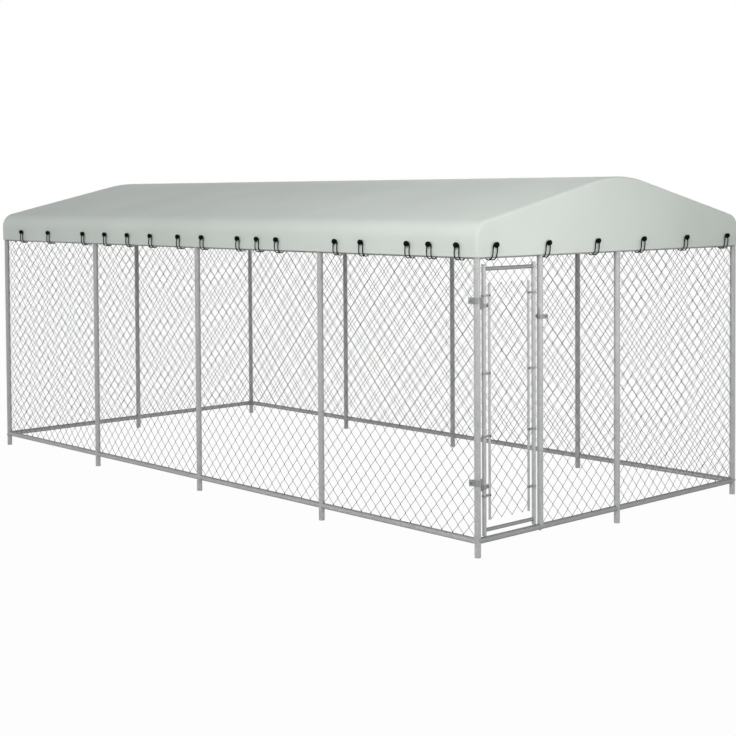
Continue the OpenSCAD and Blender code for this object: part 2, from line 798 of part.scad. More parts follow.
module door_hinge_clamps() {
    eye_x = hinge_x - stile_left;
    color(zinc_dark) at_hinge_clamps() difference() {
        union() {
            clamp_band(door_tube_d, hinge_clamp_h, ear_gap, ear_reach(door_tube_d, clamp_ear),
                clamp_bolt_x);
            translate([eye_x, 0, 0]) cylinder(r = eye_r, h = hinge_clamp_h, center = true);
            translate([eye_x, -pintle_d / 2, -hinge_clamp_h / 2]) cube([-eye_x, pintle_d, hinge_clamp_h]);
        }
        cylinder(d = door_tube_d + 2 * fit, h = hinge_clamp_h + 2 * over, center = true);
        translate([eye_x, 0, 0])
            cylinder(d = pintle_d + 2 * fit, h = hinge_clamp_h + 2 * over, center = true);
    }
}

module at_door_bolts() {
    at_tension_bands() translate([bar_offset, 0, 0]) children();
    at_hinge_clamps() translate([clamp_bolt_x, 0, 0]) children();
}

module door_bolts() {
    color(zinc_dark) at_door_bolts() ear_bolt(ear_gap);
}

module door_nuts() {
    color(zinc_dark) at_door_bolts() ear_nut(ear_gap);
}

corner_posts();
side_posts();
gable_posts();
door_post();
gable_post_caps();
color(zinc) rails(side_line(-side_x, bottom_rail_z));  // bottom_rails_left
color(zinc) rails(side_line(side_x, bottom_rail_z));  // bottom_rails_right
front_rails(bottom_rail_z);  // bottom_rails_front
color(zinc) rails(gable_line(end_y, bottom_rail_z));  // bottom_rails_rear
color(zinc) rails(side_line(-side_x, top_rail_z));  // top_rails_left
color(zinc) rails(side_line(side_x, top_rail_z));  // top_rails_right
front_rails(top_rail_z);  // top_rails_front
color(zinc) rails(gable_line(end_y, top_rail_z));  // top_rails_rear
rail_plugs();
rail_bolts();
rail_studs();
eave_bends();
rafters_left();
rafters_right();
ridge_bends();
ridge_tubes();
roof_spigots();
for (i = [0 : 3]) {
    mesh_bay(left_bays[i]);
    mesh_bay(right_bays[i]);
}
for (i = [0 : 1]) {
    mesh_bay(front_bays[i]);
    mesh_bay(rear_bays[i]);
}
canopy_roof();
canopy_front_gable();
canopy_rear_gable();
canopy_eyelets();
color(black) at_left_eyelets() bungee_cord();  // bungee_cords_left
color(black) at_right_eyelets() bungee_cord();  // bungee_cords_right
color(black) {  // bungee_cords_gables
    at_front_eyelets() bungee_cord();
    at_rear_eyelets() bungee_cord();
}
color(black) at_left_eyelets() bungee_ball();  // bungee_balls_left
color(black) at_right_eyelets() bungee_ball();  // bungee_balls_right
color(black) {  // bungee_balls_gables
    at_front_eyelets() bungee_ball();
    at_rear_eyelets() bungee_ball();
}
hinge_bands();
hinge_collars();
latch_band();
latch_pin();
post_bolts();
post_nuts();
door_stiles();
door_rails();
door_stile_caps();
door_mesh();
door_tension_bars();
door_tension_bands();
door_hinge_clamps();
door_bolts();
door_nuts();
latch_fork();
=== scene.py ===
# %% [markdown]
# # Outdoor dog kennel run
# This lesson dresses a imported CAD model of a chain-link dog run: a galvanised tube frame, woven wire walls,
# a narrow swinging door and a fabric canopy tied down with ball bungees. The tubes and fittings come from
# the CAD model as they are and only get their finishes here. The wire, the cloth and the elastic loops are
# made anew, because those are the shapes that a solid modeller draws only roughly.

# %% Load the frame
import json
from math import cos, exp, pi, radians, sin

import bmesh
import bpy
from mathutils import Matrix, Vector


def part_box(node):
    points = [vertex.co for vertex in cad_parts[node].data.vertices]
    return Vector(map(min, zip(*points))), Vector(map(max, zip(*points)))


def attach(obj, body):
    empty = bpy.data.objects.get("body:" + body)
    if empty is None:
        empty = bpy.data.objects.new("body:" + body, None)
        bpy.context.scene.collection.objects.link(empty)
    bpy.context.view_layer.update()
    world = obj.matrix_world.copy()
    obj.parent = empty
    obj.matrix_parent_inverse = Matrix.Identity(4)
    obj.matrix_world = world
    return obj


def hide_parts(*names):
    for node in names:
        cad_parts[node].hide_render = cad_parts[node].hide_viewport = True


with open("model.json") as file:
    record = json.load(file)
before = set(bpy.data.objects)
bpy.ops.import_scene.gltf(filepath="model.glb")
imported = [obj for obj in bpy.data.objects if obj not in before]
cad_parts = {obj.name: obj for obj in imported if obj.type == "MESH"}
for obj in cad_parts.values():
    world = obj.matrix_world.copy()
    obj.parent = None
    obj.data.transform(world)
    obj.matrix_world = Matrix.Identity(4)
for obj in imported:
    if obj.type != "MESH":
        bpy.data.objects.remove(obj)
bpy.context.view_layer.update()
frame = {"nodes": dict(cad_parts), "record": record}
nodes = frame["nodes"]

# %% [markdown]
# ## The camera
# The photo was taken from a little above head height, about twelve metres away, off the corner beside the
# door. Its frame was cropped off-centre, which a small lens shift repeats. The place and the angles were
# worked out from where the posts, rails and ridge fall in the picture, so they are typed in as measured.

# %% Camera
PHOTO_SIDE = 736
FOCAL_PIXELS = 1473.6
PICTURE_CENTRE = (397.4, 248)
CAMERA_PLACE = (-8.146, -9.407, 2.311)
HEADING = -43.336
TILT_UP = -2.098
ROLL = -0.307

lens = bpy.data.cameras.new("camera")
lens.sensor_width = 36
lens.lens = FOCAL_PIXELS * lens.sensor_width / PHOTO_SIDE
lens.shift_x = (PHOTO_SIDE / 2 - PICTURE_CENTRE[0]) / PHOTO_SIDE
lens.shift_y = (PICTURE_CENTRE[1] - PHOTO_SIDE / 2) / PHOTO_SIDE
lens.clip_end = 200
camera = bpy.data.objects.new("camera", lens)
aim = Matrix.Rotation(radians(HEADING), 4, "Z") @ Matrix.Rotation(radians(90 + TILT_UP), 4, "X")
roll = Matrix.Rotation(radians(ROLL), 4, "Z")
camera.matrix_world = Matrix.Translation(CAMERA_PLACE) @ aim @ roll
bpy.context.scene.collection.objects.link(camera)
bpy.context.scene.camera = camera
print("lens", round(lens.lens, 1), "mm, shift", round(lens.shift_x, 3), round(lens.shift_y, 3))

# %% [markdown]
# ## Small helpers
# Every new piece is made as a mesh in the frame's own metres and rides on a CAD body. One helper does that
# last part for all of them. Another adds a node to a material and sets its sockets in one line, so that the
# finishes below read as short recipes.

# %% Helper for the pieces
X, Y, Z = range(3)


def put_on(mesh, name, body, material, replaced):
    """Makes an object of a mesh at the origin, rides it on a body and hides the CAD parts it replaces."""
    piece = bpy.data.objects.new(name, mesh)
    bpy.context.scene.collection.objects.link(piece)
    mesh.materials.clear()
    mesh.materials.append(material)
    mesh.shade_smooth()
    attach(piece, body)
    if replaced:
        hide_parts(*replaced)
    print(name, len(mesh.vertices), "vertices on", body)
    return piece


# %% Helpers for the finishes
def add_node(tree, kind, sockets=None, **settings):
    made = tree.nodes.new("ShaderNode" + kind)
    for key, value in settings.items():
        setattr(made, key, value)
    for key, value in (sockets or {}).items():
        made.inputs[key].default_value = value
    return made


def new_finish(name, roughness, metallic=0.0, colour=None):
    material = bpy.data.materials.new(name)
    material.use_nodes = True
    shader = material.node_tree.nodes["Principled BSDF"]
    shader.inputs["Roughness"].default_value = roughness
    shader.inputs["Metallic"].default_value = metallic
    if colour:
        shader.inputs["Base Color"].default_value = (*colour, 1)
    return material, material.node_tree, shader


def two_tone(tree, source, dark, light, low=0.0, high=1.0):
    """A ramp between two colours, read from a grey socket."""
    ramp = add_node(tree, "ValToRGB")
    ramp.color_ramp.elements[0].color = (*dark, 1)
    ramp.color_ramp.elements[0].position = low
    ramp.color_ramp.elements[1].color = (*light, 1)
    ramp.color_ramp.elements[1].position = high
    tree.links.new(source, ramp.inputs["Fac"])
    return ramp.outputs["Color"]


def spread(tree, source, low, high):
    """Maps a grey socket from 0-1 to a range of values."""
    mapped = add_node(tree, "MapRange", {"To Min": low, "To Max": high})
    tree.links.new(source, mapped.inputs["Value"])
    return mapped.outputs["Result"]


def raise_surface(tree, shader, height, strength, distance):
    bump = add_node(tree, "Bump", {"Strength": strength, "Distance": distance})
    tree.links.new(height, bump.inputs["Height"])
    tree.links.new(bump.outputs["Normal"], shader.inputs["Normal"])


# %% [markdown]
# ## Galvanised steel
# Tubes, wire and fittings are steel dipped in zinc. Fresh zinc freezes in flakes about a centimetre wide,
# each a slightly different grey, and weather dulls it to satin. A Voronoi pattern gives one grey per flake,
# and a slow noise adds the cloudy patches of rain and handling. The shader is only a little metallic,
# because dull zinc scatters most of the light and a full metal would mirror the white studio. The colour
# also carries painted shade: it darkens where the surface faces up or down, on the top and underside of a
# level tube, and leaves upright posts as they are. Bolts and nuts are darker, with grime in their threads.

# %% Recipe for zinc
# painted shade: the zinc's colour is multiplied by this grey where the surface faces up or down
PAINTED_SHADE = (0.52, 0.52, 0.51, 1)
CLOUD_SIZE = 0.2
CLOUD_SHARE = 0.55
GLOSS_SPREAD = 0.07
GRAIN_HEIGHT = 0.0004


def zinc(name, dark, light, flake, roughness, metallic):
    material, tree, shader = new_finish(name, roughness, metallic)
    where = add_node(tree, "TexCoord")
    flakes = add_node(tree, "TexVoronoi", {"Scale": 1 / flake})
    clouds = add_node(tree, "TexNoise", {"Scale": 1 / CLOUD_SIZE, "Detail": 5.0, "Roughness": 0.6})
    grain = add_node(tree, "TexNoise", {"Scale": 4 / flake, "Detail": 3.0})
    for texture in (flakes, clouds, grain):
        tree.links.new(where.outputs["Object"], texture.inputs["Vector"])
    parts = add_node(tree, "SeparateColor")
    tree.links.new(flakes.outputs["Color"], parts.inputs["Color"])
    mottle = add_node(tree, "Mix", {"Factor": CLOUD_SHARE}, data_type="FLOAT")
    tree.links.new(parts.outputs["Red"], mottle.inputs["A"])
    tree.links.new(clouds.outputs["Fac"], mottle.inputs["B"])
    facing = add_node(tree, "NewGeometry")
    axes = add_node(tree, "SeparateXYZ")
    tree.links.new(facing.outputs["Normal"], axes.inputs["Vector"])
    # painted shade mask: the squared height of the normal, 1 on the top and underside of a level tube, 0 on
    # an upright post
    level = add_node(tree, "Math", operation="MULTIPLY")
    tree.links.new(axes.outputs["Z"], level.inputs[0])
    tree.links.new(axes.outputs["Z"], level.inputs[1])
    unshaded = two_tone(tree, mottle.outputs["Result"], dark, light, 0.15, 0.85)
    painted_shade = add_node(tree, "Mix", {"B": PAINTED_SHADE}, data_type="RGBA", blend_type="MULTIPLY")
    tree.links.new(level.outputs["Value"], painted_shade.inputs["Factor"])
    tree.links.new(unshaded, painted_shade.inputs["A"])
    tree.links.new(painted_shade.outputs["Result"], shader.inputs["Base Color"])
    gloss = spread(tree, parts.outputs["Green"], roughness - GLOSS_SPREAD, roughness + GLOSS_SPREAD)
    tree.links.new(gloss, shader.inputs["Roughness"])
    raise_surface(tree, shader, grain.outputs["Fac"], 0.25, GRAIN_HEIGHT)
    print(name, "with flakes of", flake, "m")
    return material


# %% Zinc finishes
tube_zinc = zinc("tube_zinc", dark=(0.355, 0.36, 0.355), light=(0.485, 0.49, 0.485),
                 flake=0.011, roughness=0.50, metallic=0.20)
wire_zinc = zinc("wire_zinc", dark=(0.115, 0.115, 0.115), light=(0.185, 0.185, 0.185),
                 flake=0.008, roughness=0.50, metallic=0.20)
fitting_zinc = zinc("fitting_zinc", dark=(0.21, 0.215, 0.22), light=(0.33, 0.335, 0.34),
                    flake=0.006, roughness=0.45, metallic=0.35)
# painted shade: a darker zinc, used only on the front bottom rails
painted_shade_rail_zinc = zinc("painted_shade_rail_zinc", dark=(0.26, 0.265, 0.265), light=(0.36, 0.365, 0.365),
                 flake=0.009, roughness=0.48, metallic=0.25)
bolt_zinc = zinc("bolt_zinc", dark=(0.05, 0.05, 0.052), light=(0.11, 0.11, 0.112),
                 flake=0.004, roughness=0.42, metallic=0.45)
eyelet_metal = zinc("eyelet_metal", dark=(0.34, 0.33, 0.31), light=(0.48, 0.47, 0.44),
                    flake=0.004, roughness=0.30, metallic=0.75)

# %% [markdown]
# ## Canopy cloth
# The canopy is a pale grey-green cloth woven from flat plastic tape, a little over two millimetres wide.
# The weave follows the cloth, so it reads a UV map in metres that the canopy gets further down. Two crossed
# waves make the over-and-under of the tapes, and a slow noise the faint cloudiness of cloth that has been
# outdoors. Two rows of stitches hold the hem. They lie at a fixed height, so a row is the cloth within half
# a thread of that height, cut into dashes along the map.

# %% Stitches along the hem
THREAD = 0.0011
STITCH = 0.0055
DASH_SHARE = 0.72
cloth_low, cloth_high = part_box("canopy_roof")
hem_z = cloth_low[Z]
STITCH_ROWS = (hem_z + 0.006, hem_z + 0.026)


def stitches(tree, uv, place):
    """A grey socket that is 1 on the threads along the hem."""
    apart = add_node(tree, "SeparateXYZ")
    tree.links.new(place, apart.inputs["Vector"])
    along = add_node(tree, "SeparateXYZ")
    tree.links.new(uv, along.inputs["Vector"])
    rows = []
    for height in STITCH_ROWS:
        row = add_node(tree, "Math", {1: height, 2: THREAD / 2}, operation="COMPARE")
        tree.links.new(apart.outputs["Z"], row.inputs[0])
        rows.append(row.outputs["Value"])
    either = add_node(tree, "Math", operation="MAXIMUM")
    tree.links.new(rows[0], either.inputs[0])
    tree.links.new(rows[1], either.inputs[1])
    count = add_node(tree, "Math", {1: STITCH}, operation="DIVIDE")
    tree.links.new(along.outputs["X"], count.inputs[0])
    part = add_node(tree, "Math", operation="FRACT")
    tree.links.new(count.outputs["Value"], part.inputs[0])
    dash = add_node(tree, "Math", {1: DASH_SHARE}, operation="LESS_THAN")
    tree.links.new(part.outputs["Value"], dash.inputs[0])
    threads = add_node(tree, "Math", operation="MULTIPLY")
    tree.links.new(either.outputs["Value"], threads.inputs[0])
    tree.links.new(dash.outputs["Value"], threads.inputs[1])
    return threads.outputs["Value"]


print("stitches", STITCH, "m long in", len(STITCH_ROWS), "rows above", round(hem_z, 3))

# %% Canopy finish
TAPE = 0.0024
WAVE_LENGTH = 0.314  # of a wave texture at a scale of 1
WEAVE_SHARE = 0.24
WORN, FRESH, SEWN = 0.93, 1.05, 0.80


def woven_cloth(name, shade):
    material, tree, shader = new_finish(name, 0.75)
    shader.inputs["Specular IOR Level"].default_value = 0.12
    shader.inputs["Sheen Weight"].default_value = 0.03
    where = add_node(tree, "UVMap", uv_map="cloth")
    place = add_node(tree, "TexCoord")
    waves = []
    for direction in ("X", "Y"):
        wave = add_node(tree, "TexWave", {"Scale": WAVE_LENGTH / TAPE}, bands_direction=direction)
        tree.links.new(where.outputs["UV"], wave.inputs["Vector"])
        waves.append(wave.outputs["Fac"])
    weave = add_node(tree, "Math", operation="MULTIPLY")
    tree.links.new(waves[0], weave.inputs[0])
    tree.links.new(waves[1], weave.inputs[1])
    clouds = add_node(tree, "TexNoise", {"Scale": 1.6, "Detail": 4.0, "Roughness": 0.55})
    tree.links.new(place.outputs["Object"], clouds.inputs["Vector"])
    tone = add_node(tree, "Mix", {"Factor": WEAVE_SHARE}, data_type="FLOAT")
    tree.links.new(clouds.outputs["Fac"], tone.inputs["A"])
    tree.links.new(weave.outputs["Value"], tone.inputs["B"])
    darker = tuple(WORN * v for v in shade)
    lighter = tuple(FRESH * v for v in shade)
    threads = stitches(tree, where.outputs["UV"], place.outputs["Object"])
    thread_shade = tuple(SEWN * v for v in shade)
    sewn = add_node(tree, "Mix", {"B": (*thread_shade, 1)}, data_type="RGBA")
    tree.links.new(threads, sewn.inputs["Factor"])
    tree.links.new(two_tone(tree, tone.outputs["Result"], darker, lighter, 0.2, 0.8), sewn.inputs["A"])
    tree.links.new(sewn.outputs["Result"], shader.inputs["Base Color"])
    height = add_node(tree, "Math", {1: 3.0}, operation="MULTIPLY_ADD")
    tree.links.new(threads, height.inputs[0])
    tree.links.new(weave.outputs["Value"], height.inputs[2])
    raise_surface(tree, shader, height.outputs["Value"], 0.35, 0.0003)
    return material


CANOPY_SHADE = (0.60, 0.64, 0.59)
HEM_TONE = 0.985
canopy_cloth = woven_cloth("canopy_cloth", CANOPY_SHADE)
hem_cloth = woven_cloth("hem_cloth", tuple(HEM_TONE * v for v in CANOPY_SHADE))
print("cloth finishes", canopy_cloth.name, hem_cloth.name)

# %% [markdown]
# ## Black elastic and black plastic
# The bungees are black braided elastic with moulded plastic balls. The braid is a fine diagonal pattern,
# made from one wave that is tilted and a little distorted. The plastic is smooth with a slight moulded
# haze. Neither is pure black: outdoor black always greys a little.

# %% Black finishes
def braid(name):
    material, tree, shader = new_finish(name, 0.85)
    shader.inputs["Specular IOR Level"].default_value = 0.02
    where = add_node(tree, "TexCoord")
    tilt = add_node(tree, "Mapping", {"Rotation": (0.6, 0.5, 0.8)})
    wave = add_node(tree, "TexWave", {"Scale": 190.0, "Distortion": 1.5}, bands_direction="DIAGONAL")
    tree.links.new(where.outputs["Object"], tilt.inputs["Vector"])
    tree.links.new(tilt.outputs["Vector"], wave.inputs["Vector"])
    colour = two_tone(tree, wave.outputs["Fac"], (0.002, 0.002, 0.002), (0.007, 0.007, 0.007))
    tree.links.new(colour, shader.inputs["Base Color"])
    raise_surface(tree, shader, wave.outputs["Fac"], 0.5, 0.0004)
    return material


def moulded_black(name):
    material, tree, shader = new_finish(name, 0.55)
    shader.inputs["Specular IOR Level"].default_value = 0.03
    where = add_node(tree, "TexCoord")
    haze = add_node(tree, "TexNoise", {"Scale": 120.0, "Detail": 4.0})
    tree.links.new(where.outputs["Object"], haze.inputs["Vector"])
    colour = two_tone(tree, haze.outputs["Fac"], (0.002, 0.002, 0.002), (0.005, 0.005, 0.005), 0.3, 0.7)
    tree.links.new(colour, shader.inputs["Base Color"])
    tree.links.new(spread(tree, haze.outputs["Fac"], 0.46, 0.64), shader.inputs["Roughness"])
    raise_surface(tree, shader, haze.outputs["Fac"], 0.15, 0.0003)
    return material


elastic_braid = braid("elastic_braid")
black_plastic = moulded_black("black_plastic")
print("black finishes", elastic_braid.name, black_plastic.name)

# %% [markdown]
# ## Finishes for the CAD pieces
# The record names one material slot for each CAD piece, so the pieces that stay as they are get their
# finish by that name. A few differ from the rest of their slot: the bolts and nuts of the bands are grimy,
# the bolts through the posts into the rails are as clean as the tubes, the door's rails take the darker
# finish of the fittings, and the front bottom rails take a darker zinc as painted shade.

# %% Dress the CAD nodes
FINISH_OF_SLOT = {
    "galvanised_tube": tube_zinc,
    "galvanised_wire": wire_zinc,
    "galvanised_hardware": fitting_zinc,
    "canopy_fabric": canopy_cloth,
    "eyelet_brass": eyelet_metal,
    "elastic_cord": elastic_braid,
    "black_plastic": black_plastic,
}
FINISH_OF_NODE = {
    "post_bolts": bolt_zinc,
    "post_nuts": bolt_zinc,
    "door_bolts": bolt_zinc,
    "door_nuts": bolt_zinc,
    "rail_bolts": tube_zinc,
    "door_rails": fitting_zinc,
    # painted shade: the front bottom rails are made darker than the other rails
    "bottom_rails_front": painted_shade_rail_zinc,
}
slot_of_node = {part["node"]: part["material_slot"] for part in frame["record"]["subparts"]}
for name, piece in nodes.items():
    piece.data.materials.clear()
    piece.data.materials.append(FINISH_OF_NODE.get(name, FINISH_OF_SLOT[slot_of_node[name]]))
print("dressed", len(nodes), "CAD nodes")

# %% [markdown]
# ## Chain-link
# Chain-link is not a grid: every wire is one long zigzag that runs from the bottom rail to the top, and
# each bend hooks round a bend of its neighbour. The runs that lean right lie on one face of the fabric, the
# runs that lean left on the other, and the wire passes through the fabric in the bend. Straight crossed
# rods would look flat, so each zigzag is drawn as a curve along its path and given the wire's round
# section. The two ends are knuckled, bent back on themselves.

# %% Path of one wire
WIRE_D = 0.0033
DIAMOND_W = 0.098
DIAMOND_H = 0.1075


def zigzag(left, right, bottom, rows, rise, starts_left):
    """Points along one wire: across the panel, through the panel, up."""
    hook = 0.8 * WIRE_D
    face = 0.55 * WIRE_D
    back_off = 2.2 * WIRE_D
    lean = rise / (right - left + 2 * hook)
    points = []
    for row in range(rows + 1):
        at_left = starts_left == (row % 2 == 0)
        way = -1 if at_left else 1
        tip = left - hook if at_left else right + hook
        z = bottom + row * rise
        arriving = (tip - way * back_off, -way * face, z - back_off * lean)
        leaving = (tip - way * back_off, way * face, z + back_off * lean)
        if row == 0:
            arriving = (tip - way * back_off, -way * face, z + 0.6 * back_off)
        if row == rows:
            leaving = (tip - way * back_off, way * face, z - 0.6 * back_off)
        points.append(arriving)
        points.append((tip, -0.4 * way * face, z - 0.25 * WIRE_D))
        points.append((tip, 0.4 * way * face, z + 0.25 * WIRE_D))
        points.append(leaving)
    return points


# %% One panel of woven wire
def swept_mesh(name, paths, thickness, kind="POLY", detail=1):
    """A mesh of round wires or cords along paths of points."""
    curve = bpy.data.curves.new(name, "CURVE")
    curve.dimensions = "3D"
    curve.bevel_depth = thickness / 2
    curve.bevel_resolution = detail
    curve.resolution_u = 4
    curve.use_fill_caps = True
    for path in paths:
        spline = curve.splines.new(kind)
        if kind == "BEZIER":
            spline.bezier_points.add(len(path) - 1)
            for knot, place in zip(spline.bezier_points, path):
                knot.co = place
                knot.handle_left_type = "AUTO"
                knot.handle_right_type = "AUTO"
        else:
            spline.points.add(len(path) - 1)
            spline.points.foreach_set("co", [v for place in path for v in (*place, 1)])
    holder = bpy.data.objects.new(name + "_path", curve)
    bpy.context.scene.collection.objects.link(holder)
    graph = bpy.context.evaluated_depsgraph_get()
    mesh = bpy.data.meshes.new_from_object(holder.evaluated_get(graph))
    mesh.name = name
    bpy.data.objects.remove(holder)
    bpy.data.curves.remove(curve)
    return mesh


def woven_panel(node, body, top):
    low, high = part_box(node)
    along = X if high[X] - low[X] > high[Y] - low[Y] else Y
    middle = (low[1 - along] + high[1 - along]) / 2
    start = low[along] + WIRE_D
    width = high[along] - low[along] - 2 * WIRE_D
    bottom = low[Z] + WIRE_D / 2
    pickets = round(2 * width / DIAMOND_W)
    rows = round(2 * (top - bottom) / DIAMOND_H)
    paths = []
    for i in range(pickets):
        left = start + width * i / pickets
        right = start + width * (i + 1) / pickets
        path = zigzag(left, right, bottom, rows, (top - bottom) / rows, i % 2 == 0)
        paths.append([(u, middle + v, z) if along == X else (middle - v, u, z) for u, v, z in path])
    mesh = swept_mesh("woven_" + node, paths, WIRE_D)
    return put_on(mesh, "woven_" + node, body, wire_zinc, [node])


# %% Weave all the walls
rail_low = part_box("top_rails_left")[0][Z]
walls = [n for n in nodes if n.startswith("mesh_")]
for node in walls:
    woven_panel(node, "run_frame", rail_low - WIRE_D / 2)
woven_panel("door_mesh", "door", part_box("door_mesh")[1][Z] - WIRE_D / 2)
print("woven panels", len(walls) + 1)

# %% [markdown]
# ## The canopy
# The canopy is one sewn cover: it lies on the roof tubes, turns down over rounded shoulders into a skirt on
# both long sides, and is closed by a gable at each end, with a soft fold where roof and gable meet. Its
# outline is drawn once as a half section with two spins, mirrored, filled and pulled along the run. The
# bottom is then taken out, the fold is bevelled, and planes cut it into a grid fine enough to let it sag.

# %% Outline of the canopy
PITCH = radians(13)
RIDGE_BEND = 1.2905
SHOULDER_BEND = 0.1205
FOLD = 0.024
CLOTH_T = 0.0015
half_width = cloth_high[X]
half_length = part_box("canopy_rear_gable")[1][Y]
peak_z = cloth_high[Z]
ridge_centre = Vector((0, -half_length, peak_z - RIDGE_BEND))
shoulder_x = half_width - SHOULDER_BEND
slope = cos(PITCH) * ridge_centre.z + RIDGE_BEND
shoulder_z = (slope - SHOULDER_BEND - sin(PITCH) * shoulder_x) / cos(PITCH)
shoulder_centre = Vector((shoulder_x, -half_length, shoulder_z))
print("shoulder", round(shoulder_x, 3), round(shoulder_z, 3))
print("hem", round(hem_z, 3), "peak", round(peak_z, 3))


def drawn_on(bm, tip, move):
    """Pulls a new point and edge out of a point."""
    made = bmesh.ops.extrude_vert_indiv(bm, verts=[tip])["verts"][0]
    bmesh.ops.translate(bm, verts=[made], vec=move)
    return made


def turned_on(bm, tip, centre, angle, steps):
    """Draws an arc on from a point, turning up and over the run."""
    made = bmesh.ops.spin(bm, geom=[tip], cent=centre, axis=(0, -1, 0), angle=angle, steps=steps)
    return [v for v in made["geom_last"] if isinstance(v, bmesh.types.BMVert)][0]


bm = bmesh.new()
hem_corner = bm.verts.new((half_width, -half_length, hem_z))
tip = drawn_on(bm, hem_corner, (0, 0, shoulder_z - hem_z))
tip = turned_on(bm, tip, shoulder_centre, pi / 2 - PITCH, steps=10)
rafter_top = ridge_centre + RIDGE_BEND * Vector((sin(PITCH), 0, cos(PITCH)))
tip = drawn_on(bm, tip, rafter_top - tip.co)
turned_on(bm, tip, ridge_centre, PITCH, steps=8)
bmesh.ops.mirror(bm, geom=bm.verts[:] + bm.edges[:], axis="X", merge_dist=1e-5)
corners = [v for v in bm.verts if abs(v.co.z - hem_z) < 1e-6]
bm.edges.new(corners)
bmesh.ops.contextual_create(bm, geom=bm.edges[:])
print("outline", len(bm.verts), "points,", len(bm.faces), "face")

# %% Pull the outline along the run, open the bottom, bevel the folds
made = bmesh.ops.extrude_face_region(bm, geom=bm.faces[:])["geom"]
far_end = [v for v in made if isinstance(v, bmesh.types.BMVert)]
bmesh.ops.translate(bm, verts=far_end, vec=(0, 2 * half_length, 0))
bmesh.ops.recalc_face_normals(bm, faces=bm.faces[:])
floor_faces = [f for f in bm.faces if f.normal.z < -0.9]
bmesh.ops.delete(bm, geom=floor_faces, context="FACES")
folds = [e for e in bm.edges if len(e.link_faces) == 2
         and sum(abs(f.normal.y) > 0.9 for f in e.link_faces) == 1]
bmesh.ops.bevel(bm, geom=folds, offset=FOLD, offset_type="OFFSET", segments=8, profile=0.5,
                affect="EDGES", clamp_overlap=True, material=-1)
print("folds", len(folds), "edges, canopy", len(bm.faces), "faces")

# %% Cut the grid
ACROSS_STEP = 0.075
RUN_STEP = 0.05
UP_STEP = 0.05


def cut_grid(bm, axis, low, high, step):
    normal = Vector((0, 0, 0))
    normal[axis] = 1
    count = round((high - low) / step)
    for i in range(1, count):
        where = normal * (low + (high - low) * i / count)
        geom = bm.verts[:] + bm.edges[:] + bm.faces[:]
        bmesh.ops.bisect_plane(bm, geom=geom, plane_co=where, plane_no=normal)


cut_grid(bm, X, -half_width, half_width, ACROSS_STEP)
cut_grid(bm, Z, hem_z, peak_z, UP_STEP)
cut_grid(bm, Y, -half_length, half_length, RUN_STEP)
print("canopy grid", len(bm.faces), "faces")

# %% [markdown]
# Stretched cloth is never quite flat. Between two roof frames it hangs a few millimetres, and every bungee
# tugs the skirt in a little round its eyelet. The eyelets are found from the balls in the CAD model, by
# splitting their points into groups along the wall.

# %% Find the bungees
APART = 0.05
CORNER_POST_Y = 3.0


def stations(node, axis):
    """Middles of the groups of points along one axis of a CAD node."""
    values = sorted(v.co[axis] for v in nodes[node].data.vertices)
    groups = [[values[0], values[0]]]
    for value in values:
        if value - groups[-1][1] > APART:
            groups.append([value, value])
        groups[-1][1] = value
    return [(low + high) / 2 for low, high in groups]


left_ties = stations("bungee_balls_left", Y)
right_ties = stations("bungee_balls_right", Y)
gable_ties = stations("bungee_balls_gables", X)
frame_y = [-CORNER_POST_Y, *stations("side_posts", Y), CORNER_POST_Y]
print("ties", len(left_ties), len(right_ties), len(gable_ties))
print("frames at", [round(y, 3) for y in frame_y])

# %% Let the cloth hang
SAG = 0.010
SKIRT_BOW = 0.0015
TUG = 0.001
TUG_REACH = 0.055
GABLE_DEPTH = 0.004  # cloth and hem this close to an end belong to its gable


def middle_of(node, axis):
    low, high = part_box(node)
    return (low[axis] + high[axis]) / 2


rail_x = middle_of("top_rails_left", X)
rail_z = middle_of("top_rails_left", Z)
eyelet_z = middle_of("bungee_balls_left", Z)


def between(value, stops):
    """0 at each stop and 1 half-way between two of them."""
    for a, b in zip(stops, stops[1:]):
        if a <= value <= b:
            return 4 * (value - a) * (b - value) / (b - a) ** 2
    return 0.0


def tugged(value, ties):
    """1 at each tie, fading to 0 beside it."""
    return sum(exp(-((value - tie) / TUG_REACH) ** 2) for tie in ties)


def hang(point):
    """Where a point of the taut canopy hangs."""
    moved = point.copy()
    low_down = max(0.0, min(1.0, (shoulder_z - point.z) / (shoulder_z - eyelet_z)))
    if abs(point.x) > shoulder_x and point.z < shoulder_z:
        ties = left_ties if point.x < 0 else right_ties
        way = 1 if point.x < 0 else -1
        moved.x += way * low_down * (SKIRT_BOW * between(point.y, frame_y) + TUG * tugged(point.y, ties))
    if abs(point.y) > half_length - GABLE_DEPTH:
        way = 1 if point.y < 0 else -1
        across = between(abs(point.x), [0, half_width])
        moved.y += way * low_down * (SKIRT_BOW * across + TUG * tugged(point.x, gable_ties))
    else:
        slack = sin(pi * min(1.0, abs(point.x) / shoulder_x)) * between(point.y, frame_y)
        moved.z -= SAG * slack
    return moved


for vertex in bm.verts:
    vertex.co = hang(vertex.co)
print("hung", len(bm.verts), "points")

# %% [markdown]
# The weave needs a flat map of the cloth. Each face takes the two axes that it lies along, in metres, which
# keeps the tapes the same width on the roof, the skirts and the gables.

# %% Map and finish the canopy
def crisp_rim(bm):
    """Keeps the cut edge of a cloth from rounding off its shading."""
    for edge in bm.edges:
        edge.smooth = not edge.is_boundary


def map_cloth(bm):
    uv = bm.loops.layers.uv.new("cloth")
    for face in bm.faces:
        facing = max(range(3), key=lambda axis: abs(face.normal[axis]))
        first, second = [(Y, Z), (X, Z), (X, Y)][facing]
        for loop in face.loops:
            loop[uv].uv = (loop.vert.co[first], loop.vert.co[second])


